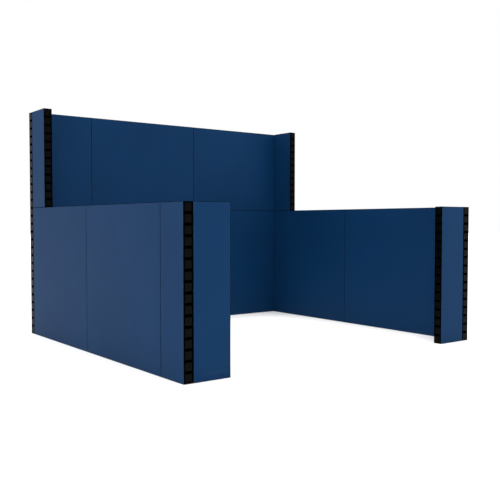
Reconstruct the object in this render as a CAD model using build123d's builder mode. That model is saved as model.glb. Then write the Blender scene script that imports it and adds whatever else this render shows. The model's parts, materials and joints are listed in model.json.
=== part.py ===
from build123d import *
from collections import namedtuple
import os

# Partition wall: a U-shaped exhibition booth of interlocking panels in two tiers.
# The lower tier is a back wall, two side walls and two short returns at the front. The upper tier stands on the
# back wall and has a short return at each end.
# Millimetres. +X runs along the back wall, +Y points at it and +Z is up. The origin is on the floor, under the
# centre of the whole footprint.

# ---- driving dimensions ----
MODULE = 76.2                       # pitch of the lugs, thickness of a panel, and step of every panel size
THICKNESS = MODULE

Tier = namedtuple("Tier", "base height key_gaps")
LOWER = Tier(base=0, height=16 * MODULE, key_gaps=(3, 8, 13))
UPPER = Tier(base=16 * MODULE, height=12 * MODULE, key_gaps=(3, 9))

BACK_MODULES = (8, 16, 16)          # widths of the back wall's panels, from the left
SIDE_MODULES = (16, 16, 4)          # widths of a side wall's panels, from the back wall forwards
RETURN_MODULES = (4,)

# the skins: two flat sheets let into the frame, which shows as a rim around them
SKIN = 2.5
RIM = 3
SKIN_CHAMFER = 0.5
CORE_THICKNESS = THICKNESS - 2 * SKIN

# the upright edge rail: a channel with a recess at the edge, a web with windows, and a pocket behind it
RAIL_DEPTH = 60
RECESS_DEPTH = 16
RECESS_WIDTH = 67.2
WEB = 6
END_WALL = 4.5
POCKET_WIDTH = 61.2
RAIL_CHAMFER = 0.8
WINDOW = 54.6

# the lugs: square heads, cut away behind at the top and bottom, on a strip behind the web
HEAD = 54
HEAD_SETBACK = 0.25
HEAD_THICKNESS = 5.75
HEAD_CHAMFER = 0.6
UNDERCUT = 8
STRIP_THICKNESS = 3
STRIP_WIDTH = 59
STRIP_END_GAP = 6

# the cross rails at a panel's bottom and top
CROSS_HEIGHT = 50
BULKHEAD = 6
TONGUE = 25
TONGUE_WIDTH = POCKET_WIDTH - 0.6
TONGUE_WALL = 5
TONGUE_BASE = END_WALL + 0.3

# the sockets and dowels that join the tiers
SOCKET_RADIUS = 12.95
SOCKET_DEPTH = 46
SOCKET_BOSS_RADIUS = 17
SOCKET_INSET = MODULE               # from a panel's edge to its first socket
SOCKET_SPACING = 2 * MODULE
DOWEL_RADIUS = 12.7
DOWEL_LENGTH = 88.9
DOWEL_CHAMFER = 2

# the core
CELL = 152.4
CELL_WALL = 2.5
CORE_CLEARANCE = 0.4

# the keys that hook behind the lugs, with their play
KEY_WIDTH = 50
KEY_PLAY = 0.3
HOOK_REACH = 6                      # how far a panel is lifted to unhook it

# the screws of the corner keys, two to a key
SCREW_LENGTH = 25.4
SCREW_RADIUS = 2
SCREW_HEAD_RADIUS = 4
SCREW_CLEARANCE = 0.1
SCREW_OFFSET = 9                    # to each side of the key's middle
COUNTERSINK_ANGLE = 90

# ---- derived dimensions ----
LENGTH = sum(BACK_MODULES) * MODULE
DEPTH = THICKNESS + sum(SIDE_MODULES) * MODULE
BACK_FACE = DEPTH / 2 - THICKNESS
BACK_LINE = DEPTH / 2 - THICKNESS / 2
SIDE_LINE = LENGTH / 2 - THICKNESS / 2
SIDE_FACE = LENGTH / 2 - THICKNESS
FRONT_LINE = -BACK_LINE
GAP = MODULE - HEAD                 # between one lug's head and the next
KEY_TOP = GAP / 2 - KEY_PLAY
KEY_UNDERSIDE = HOOK_REACH + KEY_PLAY - GAP / 2
KEY_SHOULDER = HEAD_SETBACK + HEAD_THICKNESS + KEY_PLAY
KEY_END = RECESS_DEPTH - KEY_PLAY
SCREW_HEIGHT = (KEY_TOP + KEY_UNDERSIDE) / 2

LEFTWARD = (-1, 0, 0)
RIGHTWARD = (1, 0, 0)
FORWARD = (0, -1, 0)
UP = (0, 0, 1)

# A panel's plane lies at the foot of its first upright edge, halfway through its thickness.
# Local X runs along the panel, local Y across it and local Z up.
Panel = namedtuple("Panel", "name plane width tier")


def panel_row(names, modules, start, heading, tier):
    """Panels that stand end to end from start (x, y) along heading."""
    panels = []
    travelled = 0
    for name, count in zip(names, modules):
        foot = Vector(*start, tier.base) + Vector(*heading) * travelled
        plane = Plane(origin=foot, x_dir=heading, z_dir=UP)
        panels.append(Panel(name, plane, count * MODULE, tier))
        travelled += count * MODULE
    return panels


def edge_planes(panel):
    """The two upright edges as planes: local X runs from the edge into the panel and local Z up."""
    first = panel.plane
    far_foot = first.origin + first.x_dir * panel.width
    return first, Plane(origin=far_foot, x_dir=-first.x_dir, z_dir=UP)


def end_planes(panel):
    """The bottom and the top as planes: local X runs along the panel and local Z from the end into it."""
    bottom = panel.plane
    top_foot = bottom.origin + bottom.z_dir * panel.tier.height
    return bottom, Plane(origin=top_foot, x_dir=bottom.x_dir, z_dir=-bottom.z_dir)


def edge_on(edge):
    """The plane of an upright edge's own face: local X across the panel, local Y up, normal into the panel."""
    return Plane(origin=edge.origin, x_dir=edge.y_dir, z_dir=edge.x_dir)


def side_on(plane):
    """The plane down a panel's middle: local X along it, local Y up, normal across it."""
    return Plane(origin=plane.origin, x_dir=plane.x_dir, z_dir=-plane.y_dir)


def lug_places(panel):
    """The lugs' centres on the face of an upright edge."""
    count = round(panel.tier.height / MODULE)
    return [(0, (index + 0.5) * MODULE) for index in range(count)]


def key_heights(panel):
    """Heights of the keys' centres above the panel's foot: some of the gaps between lugs."""
    return [gap * MODULE for gap in panel.tier.key_gaps]


def socket_places(panel):
    """Distances of the sockets from the panel's first edge: a pair near each end, or one pair on a short panel."""
    pair = (SOCKET_INSET, SOCKET_INSET + SOCKET_SPACING)
    return sorted({round(place, 3) for x in pair for place in (x, panel.width - x)})


def screw_planes(guest):
    """A plane at the head of each screw of a corner joint, with its normal into the guest panel."""
    face = edge_on(guest.plane)
    planes = []
    for height in key_heights(guest):
        for offset in (-SCREW_OFFSET, SCREW_OFFSET):
            seat = face.from_local_coords(Vector(offset, height + SCREW_HEIGHT, KEY_END))
            planes.append(Plane(origin=seat, x_dir=face.x_dir, z_dir=face.z_dir))
    return planes


def cut_screw_holes(guests):
    """Inside a part: the holes that the corner keys' screws make in a host panel."""
    for guest in guests:
        with Locations(*screw_planes(guest)):
            Hole(SCREW_RADIUS, depth=SCREW_LENGTH)


def make_edge_rail(panel, edge, guests):
    """An upright edge rail, with the recess, windows, pocket, skin rebates and screw holes."""
    height = panel.tier.height
    with BuildPart() as rail:
        with BuildSketch(edge) as outline:
            with Locations((RAIL_DEPTH / 2, 0)):
                Rectangle(RAIL_DEPTH, THICKNESS)
            chamfer(outline.vertices().group_by(Axis.X)[0], RAIL_CHAMFER)
        extrude(amount=height)
        with BuildSketch(edge.offset(RIM)):
            for y in (-(THICKNESS - SKIN) / 2, (THICKNESS - SKIN) / 2):
                with Locations((RIM + RAIL_DEPTH / 2, y)):
                    Rectangle(RAIL_DEPTH, SKIN)
        extrude(amount=height - 2 * RIM, mode=Mode.SUBTRACT)
        with BuildSketch(edge.offset(END_WALL)):
            with Locations((RECESS_DEPTH / 2, 0)):
                Rectangle(RECESS_DEPTH, RECESS_WIDTH)
            with Locations(((RECESS_DEPTH + WEB + RAIL_DEPTH) / 2, 0)):
                Rectangle(RAIL_DEPTH - RECESS_DEPTH - WEB, POCKET_WIDTH)
        extrude(amount=height - 2 * END_WALL, mode=Mode.SUBTRACT)
        with BuildSketch(edge_on(edge).offset(RECESS_DEPTH)):
            with Locations(*lug_places(panel)):
                Rectangle(WINDOW, WINDOW)
        extrude(amount=WEB, mode=Mode.SUBTRACT)
        cut_screw_holes(guests)
    rail.part.label = "edge_rail"
    return rail.part


def make_cross_rail(panel, end):
    """A bottom or top rail: a channel with bulkheads, a hollow tongue at each end and the dowel sockets."""
    length = panel.width - 2 * RAIL_DEPTH
    middle = panel.width / 2
    with BuildPart() as rail:
        with BuildSketch(end):
            with Locations((middle, 0)):
                Rectangle(length, THICKNESS)
        extrude(amount=RIM)
        with BuildSketch(end.offset(RIM)):
            with Locations((middle, 0)):
                Rectangle(length, CORE_THICKNESS)
        extrude(amount=CROSS_HEIGHT - RIM)
        with BuildSketch(end.offset(TONGUE_BASE)):
            with Locations((middle, 0)):
                Rectangle(length + 2 * TONGUE, TONGUE_WIDTH)
        extrude(amount=CROSS_HEIGHT - TONGUE_BASE)
        with BuildSketch(end.offset(WEB)):
            with Locations((middle, 0)):
                Rectangle(length - 2 * BULKHEAD, POCKET_WIDTH)
        extrude(amount=CROSS_HEIGHT - WEB, mode=Mode.SUBTRACT)
        with BuildSketch(end.offset(TONGUE_BASE + TONGUE_WALL)):
            with Locations((middle - length / 2 - TONGUE / 2 + TONGUE_WALL / 2, 0)):
                Rectangle(TONGUE - TONGUE_WALL, TONGUE_WIDTH - 2 * TONGUE_WALL)
            with Locations((middle + length / 2 + TONGUE / 2 - TONGUE_WALL / 2, 0)):
                Rectangle(TONGUE - TONGUE_WALL, TONGUE_WIDTH - 2 * TONGUE_WALL)
        extrude(amount=CROSS_HEIGHT - TONGUE_BASE - TONGUE_WALL, mode=Mode.SUBTRACT)
        with BuildSketch(end.offset(WEB)):
            with Locations(*[(x, 0) for x in socket_places(panel)]):
                Circle(SOCKET_BOSS_RADIUS)
        extrude(amount=CROSS_HEIGHT - WEB)
        with BuildSketch(end):
            with Locations(*[(x, 0) for x in socket_places(panel)]):
                Circle(SOCKET_RADIUS)
        extrude(amount=SOCKET_DEPTH, mode=Mode.SUBTRACT)
    rail.part.label = "cross_rail"
    return rail.part


def make_skin(panel, outward, guests):
    """One flat sheet, let into the rebates of the frame, on the side of the panel that outward points to."""
    height = panel.tier.height
    middle = side_on(panel.plane)
    sheet_plane = Plane(origin=middle.origin, x_dir=panel.plane.x_dir * outward, z_dir=middle.z_dir * outward)
    with BuildPart() as skin:
        with BuildSketch(sheet_plane.offset(CORE_THICKNESS / 2)):
            with Locations((outward * panel.width / 2, height / 2)):
                Rectangle(panel.width - 2 * RIM, height - 2 * RIM)
        extrude(amount=SKIN)
        outer_face = skin.faces().sort_by(Axis(sheet_plane.origin, sheet_plane.z_dir))[-1]
        chamfer(outer_face.edges(), SKIN_CHAMFER)
        cut_screw_holes(guests)
    skin.part.label = "skin"
    return skin.part


def make_core(panel):
    """The egg-crate core that fills the frame between the skins."""
    width = panel.width - 2 * RAIL_DEPTH - CORE_CLEARANCE
    height = panel.tier.height - 2 * CROSS_HEIGHT - CORE_CLEARANCE
    across = round(width / CELL)
    upward = round(height / CELL)
    pitch_x = (width - CELL_WALL) / across
    pitch_z = (height - CELL_WALL) / upward
    with BuildPart() as core:
        with BuildSketch(side_on(panel.plane)):
            with Locations((panel.width / 2, panel.tier.height / 2)):
                Rectangle(width, height)
                with GridLocations(pitch_x, pitch_z, across, upward):
                    Rectangle(pitch_x - CELL_WALL, pitch_z - CELL_WALL, mode=Mode.SUBTRACT)
        extrude(amount=(CORE_THICKNESS - CORE_CLEARANCE) / 2, both=True)
    core.part.label = "core"
    return core.part


def make_lug_strip(panel, edge):
    """The strip behind an edge rail's web, with a column of lugs that stand through the windows."""
    face = edge_on(edge)
    places = lug_places(panel)
    strip_back = RECESS_DEPTH + WEB
    stem_start = HEAD_SETBACK + HEAD_THICKNESS
    with BuildPart() as strip:
        with BuildSketch(face.offset(strip_back)):
            with Locations((0, panel.tier.height / 2)):
                Rectangle(STRIP_WIDTH, panel.tier.height - 2 * STRIP_END_GAP)
        extrude(amount=STRIP_THICKNESS)
        with BuildSketch(face.offset(stem_start)):
            with Locations(*places):
                Rectangle(HEAD, HEAD - 2 * UNDERCUT)
        extrude(amount=strip_back - stem_start)
        with BuildSketch(face.offset(HEAD_SETBACK)):
            with Locations(*places):
                Rectangle(HEAD, HEAD)
        extrude(amount=HEAD_THICKNESS)
        head_faces = strip.faces().sort_by(Axis(face.origin, face.z_dir))[:len(places)]
        chamfer(head_faces.edges(), HEAD_CHAMFER)
    strip.part.label = "lug_strip"
    return strip.part


def hook_outline():
    """Inside a sketch: one arm of a key, which rises behind a lug's head, drawn from the joint's line."""
    Polygon(
        (0, KEY_UNDERSIDE),
        (KEY_END, KEY_UNDERSIDE),
        (KEY_END, KEY_TOP + HOOK_REACH),
        (KEY_SHOULDER, KEY_TOP + HOOK_REACH),
        (KEY_SHOULDER, KEY_TOP),
        (0, KEY_TOP),
        align=None,
    )


def make_inline_key(panel, height):
    """A Z-shaped key across the joint at the panel's first edge: one arm hooks up, the other down."""
    with BuildPart() as key:
        with BuildSketch(side_on(panel.plane)):
            with Locations((0, height)):
                with PolarLocations(0, 2):
                    hook_outline()
        extrude(amount=KEY_WIDTH / 2, both=True)
    key.part.label = "inline_key"
    return key.part


def make_corner_keys(guest):
    """The keys of one corner joint: each is one hook, screwed to the host panel's face."""
    with BuildPart() as keys:
        with BuildSketch(side_on(guest.plane)):
            with Locations(*[(0, height) for height in key_heights(guest)]):
                hook_outline()
        extrude(amount=KEY_WIDTH / 2, both=True)
        with Locations(*screw_planes(guest)):
            CounterSinkHole(
                SCREW_RADIUS + SCREW_CLEARANCE,
                SCREW_HEAD_RADIUS + SCREW_CLEARANCE,
                depth=KEY_END,
                counter_sink_angle=COUNTERSINK_ANGLE,
            )
    keys.part.label = "corner_keys"
    return keys.part


def make_screw():
    """A countersunk screw along -Z, with its head's face on the origin's plane."""
    head_height = SCREW_HEAD_RADIUS - SCREW_RADIUS
    with BuildPart() as screw:
        with BuildSketch(Plane.XZ):
            with BuildLine():
                Polyline(
                    (0, 0),
                    (SCREW_HEAD_RADIUS, 0),
                    (SCREW_RADIUS, -head_height),
                    (SCREW_RADIUS, SCREW_RADIUS - SCREW_LENGTH),
                    (0, -SCREW_LENGTH),
                    close=True,
                )
            make_face()
        revolve(axis=Axis.Z)
    screw.part.label = "screw"
    return screw.part


def make_dowel():
    """A dowel with its middle on the origin."""
    with BuildPart() as dowel:
        Cylinder(DOWEL_RADIUS, DOWEL_LENGTH)
        chamfer(dowel.edges().filter_by(GeomType.CIRCLE), DOWEL_CHAMFER)
    dowel.part.label = "dowel"
    return dowel.part


def copies(piece, planes):
    """The same piece set on each plane."""
    return [plane.location * piece for plane in planes]


def save_node(name, pieces):
    """Writes one node. Its pieces stay separate solids."""
    node = Compound(label=name, children=pieces)
    export_step(node, f"parts/{name}.step", write_pcurves=False)


# ---- the panels, wall by wall ----
lower_back = panel_row(
    ("lower_back_left", "lower_back_middle", "lower_back_right"),
    BACK_MODULES, (-LENGTH / 2, BACK_LINE), RIGHTWARD, LOWER)
lower_left = panel_row(
    ("lower_left_rear", "lower_left_middle", "lower_left_end"),
    SIDE_MODULES, (-SIDE_LINE, BACK_FACE), FORWARD, LOWER)
lower_right = panel_row(
    ("lower_right_rear", "lower_right_middle", "lower_right_end"),
    SIDE_MODULES, (SIDE_LINE, BACK_FACE), FORWARD, LOWER)
front_returns = (
    panel_row(("front_left_return",), RETURN_MODULES, (-SIDE_FACE, FRONT_LINE), RIGHTWARD, LOWER)
    + panel_row(("front_right_return",), RETURN_MODULES, (SIDE_FACE, FRONT_LINE), LEFTWARD, LOWER))
upper_back = panel_row(
    ("upper_back_left", "upper_back_middle", "upper_back_right"),
    BACK_MODULES, (-LENGTH / 2, BACK_LINE), RIGHTWARD, UPPER)
upper_returns = (
    panel_row(("upper_left_return",), RETURN_MODULES, (-SIDE_LINE, BACK_FACE), FORWARD, UPPER)
    + panel_row(("upper_right_return",), RETURN_MODULES, (SIDE_LINE, BACK_FACE), FORWARD, UPPER))

walls = {
    "lower_back": lower_back,
    "lower_left": lower_left,
    "lower_right": lower_right,
    "front_return": front_returns,
    "upper_back": upper_back,
    "upper_return": upper_returns,
}
all_panels = [panel for wall in walls.values() for panel in wall]

# Where one wall butts another's face: the host panel's name and the guest, whose first edge meets that face.
corner_guests = {
    "lower_back_left": lower_left[0],
    "lower_back_right": lower_right[0],
    "lower_left_end": front_returns[0],
    "lower_right_end": front_returns[1],
    "upper_back_left": upper_returns[0],
    "upper_back_right": upper_returns[1],
}

os.makedirs("parts", exist_ok=True)

# ---- each panel's own pieces ----
for panel in all_panels:
    guests = [corner_guests[panel.name]] if panel.name in corner_guests else []
    save_node(f"{panel.name}_skins", [make_skin(panel, outward, guests) for outward in (1, -1)])
    edge_rails = [make_edge_rail(panel, edge, guests) for edge in edge_planes(panel)]
    cross_rails = [make_cross_rail(panel, end) for end in end_planes(panel)]
    save_node(f"{panel.name}_frame", edge_rails + cross_rails)
    save_node(f"{panel.name}_core", [make_core(panel)])

for wall_name, wall in walls.items():
    strips = [make_lug_strip(panel, edge) for panel in wall for edge in edge_planes(panel)]
    save_node(f"{wall_name}_lugs", strips)

# ---- the pieces that join panels ----
lower_joints = lower_back[1:] + lower_left[1:] + lower_right[1:]
upper_joints = upper_back[1:]
for node_name, joints in (("lower_inline_keys", lower_joints), ("upper_inline_keys", upper_joints)):
    keys = [make_inline_key(panel, height) for panel in joints for height in key_heights(panel)]
    save_node(node_name, keys)

save_node("corner_keys", [make_corner_keys(guest) for guest in corner_guests.values()])

screw_seats = [plane for guest in corner_guests.values() for plane in screw_planes(guest)]
save_node("corner_key_screws", copies(make_screw(), screw_seats))

dowel_seats = [
    Plane(origin=panel.plane.origin + panel.plane.x_dir * place, x_dir=panel.plane.x_dir, z_dir=UP)
    for panel in upper_back + upper_returns for place in socket_places(panel)]
save_node("tier_dowels", copies(make_dowel(), dowel_seats))
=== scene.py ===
import json
import math

import bpy
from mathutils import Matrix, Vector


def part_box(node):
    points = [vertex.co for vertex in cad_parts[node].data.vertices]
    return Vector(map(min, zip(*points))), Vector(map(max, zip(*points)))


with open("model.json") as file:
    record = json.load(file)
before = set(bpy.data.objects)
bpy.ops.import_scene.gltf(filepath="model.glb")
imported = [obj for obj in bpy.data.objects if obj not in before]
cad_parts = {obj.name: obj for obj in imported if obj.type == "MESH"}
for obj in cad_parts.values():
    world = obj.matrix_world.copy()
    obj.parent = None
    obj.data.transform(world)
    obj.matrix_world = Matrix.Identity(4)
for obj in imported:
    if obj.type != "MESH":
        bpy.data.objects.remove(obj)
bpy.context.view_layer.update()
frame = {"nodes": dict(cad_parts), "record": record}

# ---- camera: place in metres in the row frame, angles in degrees, lens in millimetres ----
CAMERA_PLACE = (-4.018, -5.454, 1.0765)
CAMERA_HEADING = 36.96          # clockwise from +Y
CAMERA_TILT = -2.18             # above the horizon
CAMERA_LENS = 51.72
SENSOR_WIDTH = 36

# ---- light ----
SKY_COLOUR = (1, 1, 1, 1)
SKY_STRENGTH = 1.0
SUN_STRENGTH = 3.3
SUN_SOFTNESS = math.radians(40)

# ---- floor ----
FLOOR_SIZE = 120                # metres
FLOOR_TONE = (0.86, 0.86, 0.86, 1)
FLOOR_SHADE = 0.985             # tone of its darker patches, as a share of the floor's
FLOOR_PATCH_SCALE = 0.8
FLOOR_ROUGHNESS = 0.9

# ---- colours, as linear values ----
NAVY = (0.0010, 0.0276, 0.0880, 1)
NAVY_DEEP = (0.0008, 0.0246, 0.0799, 1)
NAVY_RUBBED = (0.03, 0.08, 0.17, 1)
DUST = (0.11, 0.12, 0.13, 1)
BLACK = (0.0003, 0.0003, 0.0003, 1)
# Paler tone for scuffs and worn corners on the black plastics. It is also light enough to paint a
# highlight along the corners.
BLACK_WORN_AND_HIGHLIT = (0.024, 0.024, 0.025, 1)
LUG_GREY = (0.0004, 0.0004, 0.0004, 1)
# Paler tone for scuffs and worn corners on the grey lugs. It is also light enough to paint a highlight
# along the corners.
LUG_WORN_AND_HIGHLIT = (0.034, 0.034, 0.035, 1)
ZINC_DULL = (0.52, 0.52, 0.54, 1)
ZINC_BRIGHT = (0.66, 0.66, 0.65, 1)
CORE_GREY = (0.50, 0.50, 0.47, 1)
CORE_WHITE = (0.60, 0.60, 0.57, 1)

# ---- how strongly each surface mirrors its surroundings ----
SHEET_SPECULAR = 0.088
FRAME_SPECULAR = 0.005
LUG_SPECULAR = 0.043
ZINC_SPECULAR = 0.5
CORE_SPECULAR = 0.4
FLOOR_SPECULAR = 0.1

# Noise scales are in waves per metre. A stretched noise has three of them, one for each axis.
# A band is the pair of noise values at which a mark begins to show and shows in full.
MIDDLE_BAND = (0.3, 0.7)


class Graph:
    """A material's node tree, with short calls for the nodes that the materials here share."""

    CORNER_MASK_BAND = (0.98, 0.8)     # cosines between a corner's rounded and flat normals

    def __init__(self, name):
        self.material = bpy.data.materials.new(name)
        self.material.use_nodes = True
        self.tree = self.material.node_tree
        self.shader = self.tree.nodes["Principled BSDF"]
        self.place = self.node("ShaderNodeTexCoord").outputs["Object"]

    def node(self, kind, **settings):
        made = self.tree.nodes.new(kind)
        for key, value in settings.items():
            setattr(made, key, value)
        return made

    def feed(self, socket, value):
        """Links an output, or sets a plain value, on an input socket."""
        if isinstance(value, bpy.types.NodeSocket):
            self.tree.links.new(value, socket)
        else:
            socket.default_value = value

    def math(self, operation, first, second, clamp=False):
        made = self.node("ShaderNodeMath", operation=operation, use_clamp=clamp)
        self.feed(made.inputs[0], first)
        self.feed(made.inputs[1], second)
        return made.outputs[0]

    def vector_math(self, operation, first, second):
        made = self.node("ShaderNodeVectorMath", operation=operation)
        self.feed(made.inputs[0], first)
        self.feed(made.inputs[1], second)
        return made

    def axes(self):
        """The three object coordinates, each as an output of its own."""
        split = self.node("ShaderNodeSeparateXYZ")
        self.feed(split.inputs[0], self.place)
        return split.outputs

    def shifted(self, shift):
        return self.vector_math("ADD", self.place, shift).outputs["Vector"]

    def stretched(self, place, scales):
        return self.vector_math("MULTIPLY", place, scales).outputs["Vector"]

    def noise(self, vector, scale=1.0, detail=3.0, roughness=0.5):
        made = self.node("ShaderNodeTexNoise")
        self.feed(made.inputs["Vector"], vector)
        made.inputs["Scale"].default_value = scale
        made.inputs["Detail"].default_value = detail
        made.inputs["Roughness"].default_value = roughness
        return made.outputs["Fac"]

    def cells(self, vector, scale):
        """Distance to the middle of the nearest of many small uneven cells."""
        made = self.node("ShaderNodeTexVoronoi", feature="F1")
        self.feed(made.inputs["Vector"], vector)
        made.inputs["Scale"].default_value = scale
        return made.outputs["Distance"]

    def between(self, value, band, to_low=0.0, to_high=1.0):
        """The value's place in the band, smoothly, as a number between to_low and to_high."""
        made = self.node("ShaderNodeMapRange", interpolation_type="SMOOTHSTEP")
        self.feed(made.inputs["Value"], value)
        made.inputs["From Min"].default_value = band[0]
        made.inputs["From Max"].default_value = band[1]
        made.inputs["To Min"].default_value = to_low
        made.inputs["To Max"].default_value = to_high
        return made.outputs["Result"]

    def mixed(self, factor, first, second):
        made = self.node("ShaderNodeMix", data_type="RGBA")
        self.feed(made.inputs["Factor"], factor)
        self.feed(made.inputs["A"], first)
        self.feed(made.inputs["B"], second)
        return made.outputs["Result"]

    def bump(self, height, strength, distance, below=None):
        made = self.node("ShaderNodeBump")
        made.inputs["Strength"].default_value = strength
        made.inputs["Distance"].default_value = distance
        self.feed(made.inputs["Height"], height)
        if below is not None:
            self.feed(made.inputs["Normal"], below)
        return made.outputs["Normal"]

    # Mask of the sharp edges. It paints moulded corners paler, partly as wear and partly as a painted
    # highlight.
    def corner_wear_and_highlight(self, radius):
        """Near 1 on sharp edges and 0 on flat faces."""
        rounded = self.node("ShaderNodeBevel", samples=4)
        rounded.inputs["Radius"].default_value = radius
        flat = self.node("ShaderNodeNewGeometry").outputs["Normal"]
        cosine = self.vector_math("DOT_PRODUCT", rounded.outputs["Normal"], flat).outputs["Value"]
        return self.between(cosine, self.CORNER_MASK_BAND)

    def edge_distance(self, low, high):
        """Distance in metres to the nearest edge of a thin upright sheet whose box is low to high."""
        spans = [high[axis] - low[axis] for axis in range(3)]
        along = 0 if spans[0] > spans[1] else 1
        coordinates = self.axes()
        nearest = None
        for axis in (along, 2):
            for side, limit in ((1, low[axis]), (-1, high[axis])):
                gap = self.math("MULTIPLY", self.math("SUBTRACT", coordinates[axis], limit), side)
                nearest = gap if nearest is None else self.math("MINIMUM", nearest, gap)
        return nearest

    def finish(self, colour, roughness, normal, specular):
        self.feed(self.shader.inputs["Base Color"], colour)
        self.feed(self.shader.inputs["Roughness"], roughness)
        self.feed(self.shader.inputs["Normal"], normal)
        self.shader.inputs["Specular IOR Level"].default_value = specular
        return self.material


# ---- the navy sheets ----
SHEET_SHIFT = (3.7, 5.1, 2.3)   # metres from one sheet's noise to the next sheet's
MOTTLE_SCALE = 1.6
STREAK_SCALES = (60, 60, 1.2)
GRAIN_SCALE = 950
CELL_SCALE = 520
SCRATCH_SCALES = (9, 9, 150)
SCRATCH_BAND = (0.69, 0.74)
SCRATCHED_PATCH_SCALE = 3.0
SCRATCHED_PATCH_BAND = (0.5, 0.68)
CHIP_SCALE = 60
CHIP_BAND = (0.46, 0.62)
SMEAR_SCALES = (5, 5, 22)
SMEAR_BAND = (0.5, 0.72)
EDGE_BAND = (0.006, 0.0005)     # metres from the sheet's edge
FOOT_BAND = (0.16, 0.01)        # metres above the floor
DUST_SHARE = 0.05
RUBBED_SHARE = 0.55
SCRATCH_SHARE = 0.35
SHEET_ROUGHNESS = (0.605, 0.635)
WORN_ROUGHNESS = 0.15           # added where the sheet is scratched or rubbed


def blue_sheet(name, low, high, number):
    """Semi-matte navy sheet with calendered grain, faint streaks, hairline scratches and rubbed edges."""
    g = Graph(name)
    place = g.shifted(tuple(number * step for step in SHEET_SHIFT))
    mottle = g.noise(place, MOTTLE_SCALE, detail=4)
    streaks = g.noise(g.stretched(place, STREAK_SCALES), detail=2)
    grain = g.noise(place, GRAIN_SCALE, detail=2)
    cells = g.cells(place, CELL_SCALE)

    lines = g.between(g.noise(g.stretched(place, SCRATCH_SCALES), detail=5, roughness=0.65), SCRATCH_BAND)
    patches = g.between(g.noise(place, SCRATCHED_PATCH_SCALE, detail=2), SCRATCHED_PATCH_BAND)
    scratches = g.math("MULTIPLY", lines, patches)

    near_edge = g.between(g.edge_distance(low, high), EDGE_BAND)
    chips = g.between(g.noise(place, CHIP_SCALE, detail=4), CHIP_BAND)
    rubbed = g.math("MULTIPLY", near_edge, chips)

    at_foot = g.between(g.axes()["Z"], FOOT_BAND)
    smears = g.between(g.noise(g.stretched(place, SMEAR_SCALES), detail=4), SMEAR_BAND)
    dusty = g.math("MULTIPLY", at_foot, smears)

    colour = g.mixed(g.between(mottle, MIDDLE_BAND), NAVY_DEEP, NAVY)
    colour = g.mixed(g.math("MULTIPLY", rubbed, RUBBED_SHARE), colour, NAVY_RUBBED)
    colour = g.mixed(g.math("MULTIPLY", scratches, SCRATCH_SHARE), colour, NAVY_RUBBED)
    colour = g.mixed(g.math("MULTIPLY", dusty, DUST_SHARE), colour, DUST)

    roughness = g.between(streaks, MIDDLE_BAND, *SHEET_ROUGHNESS)
    roughness = g.math("ADD", roughness, g.math("MULTIPLY", scratches, WORN_ROUGHNESS))
    roughness = g.math("ADD", roughness, g.math("MULTIPLY", rubbed, WORN_ROUGHNESS), clamp=True)

    normal = g.bump(streaks, strength=0.02, distance=0.0004)
    normal = g.bump(cells, strength=0.12, distance=0.0002, below=normal)
    normal = g.bump(grain, strength=0.10, distance=0.0001, below=normal)
    return g.finish(colour, roughness, normal, SHEET_SPECULAR)


# ---- the moulded plastics ----
FLOW_SCALES = (6, 6, 2)
FLOW_SHARE = 0.35
FLOW_SHADE = 0.6                # tone of the flow marks, as a share of the plastic's
HANDLING_SCALE = 9
HANDLING_BAND = (0.4, 0.7)
LEAST_HANDLED = 0.3             # share of the wear and painted highlight on corners that hands and tools seldom touch
SCUFF_SCALES = (35, 35, 90)
SCUFF_BAND = (0.6, 0.74)
SCUFF_SHARE = 0.2
CORNER_RADIUS = 0.0012          # metres of a corner that wear and that get a painted highlight
CORNER_POLISH = -0.08           # added to the roughness of worn corners


def darker(colour, share):
    """The colour with its red, green and blue at a share of what they were."""
    return tuple(share * part for part in colour[:3]) + (1,)


def moulded(name, colour, wear_and_highlight_colour, grain_size, roughness_range, specular, wear_and_highlight):
    """Moulded plastic: spark-eroded grain, slight flow marks, corners painted paler as wear and as a
    highlight.
    """
    g = Graph(name)
    grain = g.noise(g.place, 1 / grain_size, detail=3, roughness=0.7)
    flow = g.noise(g.stretched(g.place, FLOW_SCALES), detail=3)
    handled = g.between(g.noise(g.place, HANDLING_SCALE, detail=4), HANDLING_BAND, to_low=LEAST_HANDLED)
    rubbed = g.math("MULTIPLY", g.corner_wear_and_highlight(CORNER_RADIUS), handled)
    scuffs = g.between(g.noise(g.stretched(g.place, SCUFF_SCALES), detail=5, roughness=0.7), SCUFF_BAND)

    tint = g.mixed(g.math("MULTIPLY", flow, FLOW_SHARE), colour, darker(colour, FLOW_SHADE))
    tint = g.mixed(g.math("MULTIPLY", scuffs, SCUFF_SHARE * wear_and_highlight), tint, wear_and_highlight_colour)
    # Corners painted paler: partly wear, partly a painted highlight along the edges.
    tint = g.mixed(g.math("MULTIPLY", rubbed, wear_and_highlight), tint, wear_and_highlight_colour)

    roughness = g.between(flow, MIDDLE_BAND, *roughness_range)
    roughness = g.math("ADD", roughness, g.math("MULTIPLY", rubbed, CORNER_POLISH))

    normal = g.bump(flow, strength=0.05, distance=0.0006)
    normal = g.bump(grain, strength=0.2, distance=0.0002, below=normal)
    return g.finish(tint, roughness, normal, specular)


# ---- the screws and the cores ----
TURNING_SCALES = (40, 40, 900)
BLOOM_SCALE = 160
ZINC_ROUGHNESS = (0.28, 0.42)
EXTRUSION_SCALES = (3, 3, 400)
BLOTCH_SCALE = 14
CORE_ROUGHNESS = (0.55, 0.7)


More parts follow.
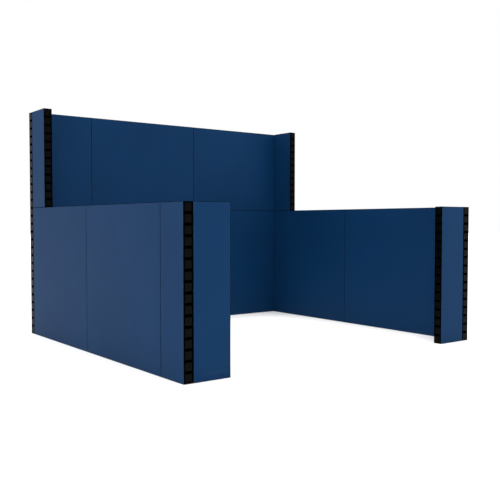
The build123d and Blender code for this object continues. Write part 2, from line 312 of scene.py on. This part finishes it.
def plated_steel(name):
    """Zinc-plated steel with fine turning marks."""
    g = Graph(name)
    marks = g.noise(g.stretched(g.place, TURNING_SCALES), detail=3)
    bloom = g.noise(g.place, BLOOM_SCALE, detail=3)
    colour = g.mixed(bloom, ZINC_DULL, ZINC_BRIGHT)
    roughness = g.between(bloom, MIDDLE_BAND, *ZINC_ROUGHNESS)
    normal = g.bump(marks, strength=0.15, distance=0.0001)
    g.shader.inputs["Metallic"].default_value = 1.0
    return g.finish(colour, roughness, normal, ZINC_SPECULAR)


def core_board(name):
    """Unpainted extruded core: off-white with extrusion lines."""
    g = Graph(name)
    lines = g.noise(g.stretched(g.place, EXTRUSION_SCALES), detail=2)
    blotches = g.noise(g.place, BLOTCH_SCALE, detail=3)
    colour = g.mixed(blotches, CORE_GREY, CORE_WHITE)
    roughness = g.between(blotches, MIDDLE_BAND, *CORE_ROUGHNESS)
    normal = g.bump(lines, strength=0.2, distance=0.0002)
    return g.finish(colour, roughness, normal, CORE_SPECULAR)


# ---- one finish for each material slot but the sheets', with grain sizes in metres ----
FINISHES = {
    "black_frame": moulded("black_moulding", BLACK, BLACK_WORN_AND_HIGHLIT, grain_size=0.0009,
                           roughness_range=(0.62, 0.72), specular=FRAME_SPECULAR, wear_and_highlight=0.7),
    "grey_lug": moulded("dark_grey_moulding", LUG_GREY, LUG_WORN_AND_HIGHLIT, grain_size=0.0008,
                        roughness_range=(0.33, 0.4), specular=LUG_SPECULAR, wear_and_highlight=0.7),
    "key": moulded("glass_filled_black", BLACK, BLACK_WORN_AND_HIGHLIT, grain_size=0.0005,
                   roughness_range=(0.5, 0.6), specular=LUG_SPECULAR, wear_and_highlight=0.3),
    "dowel": moulded("smooth_black_rod", BLACK, BLACK_WORN_AND_HIGHLIT, grain_size=0.002,
                     roughness_range=(0.3, 0.4), specular=LUG_SPECULAR, wear_and_highlight=0.3),
    "steel_screw": plated_steel("zinc_plated_steel"),
    "core": core_board("core_board"),
}


def paint(thing, material):
    """Puts one material on every slot of an object."""
    for slot in thing.material_slots:
        slot.material = material


def paint_nodes():
    """Every CAD node gets its material slot's finish. Each panel's skins have a sheet of their own."""
    slots = {row["node"]: row["material_slot"] for row in frame["record"]["subparts"]}
    skins = sorted(name for name, slot in slots.items() if slot == "blue_skin")
    for name, slot in slots.items():
        if slot == "blue_skin":
            low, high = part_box(name)
            panel = name.removesuffix("_skins")
            material = blue_sheet(f"navy_sheet_{panel}", low, high, skins.index(name) + 1)
        else:
            material = FINISHES[slot]
        paint(frame["nodes"][name], material)


def make_camera():
    """A camera that is not turned looks straight down, so a level one is turned up by 90 degrees."""
    data = bpy.data.cameras.new("camera")
    data.sensor_width = SENSOR_WIDTH
    data.lens = CAMERA_LENS
    camera = bpy.data.objects.new("camera", data)
    camera.location = CAMERA_PLACE
    camera.rotation_euler = (math.radians(90 + CAMERA_TILT), 0, math.radians(-CAMERA_HEADING))
    bpy.context.scene.collection.objects.link(camera)
    bpy.context.scene.camera = camera


def make_light():
    """A white sky all round, and one very soft sun straight overhead."""
    world = bpy.data.worlds.new("studio")
    world.use_nodes = True
    background = world.node_tree.nodes["Background"]
    background.inputs["Color"].default_value = SKY_COLOUR
    background.inputs["Strength"].default_value = SKY_STRENGTH
    bpy.context.scene.world = world
    sun = bpy.data.lights.new("overhead", "SUN")
    sun.energy = SUN_STRENGTH
    sun.angle = SUN_SOFTNESS
    lamp = bpy.data.objects.new("overhead", sun)
    bpy.context.scene.collection.objects.link(lamp)
    bpy.context.scene.view_settings.view_transform = "Standard"


def make_floor():
    half = FLOOR_SIZE / 2
    corners = [(-half, -half, 0), (half, -half, 0), (half, half, 0), (-half, half, 0)]
    mesh = bpy.data.meshes.new("floor")
    mesh.from_pydata(corners, [], [(0, 1, 2, 3)])
    floor = bpy.data.objects.new("floor", mesh)
    bpy.context.scene.collection.objects.link(floor)
    g = Graph("pale_floor")
    patches = g.noise(g.place, FLOOR_PATCH_SCALE, detail=2)
    colour = g.mixed(patches, FLOOR_TONE, darker(FLOOR_TONE, FLOOR_SHADE))
    normal = g.bump(patches, strength=0.02, distance=0.001)
    mesh.materials.append(g.finish(colour, FLOOR_ROUGHNESS, normal, FLOOR_SPECULAR))


make_camera()
make_light()
make_floor()
paint_nodes()
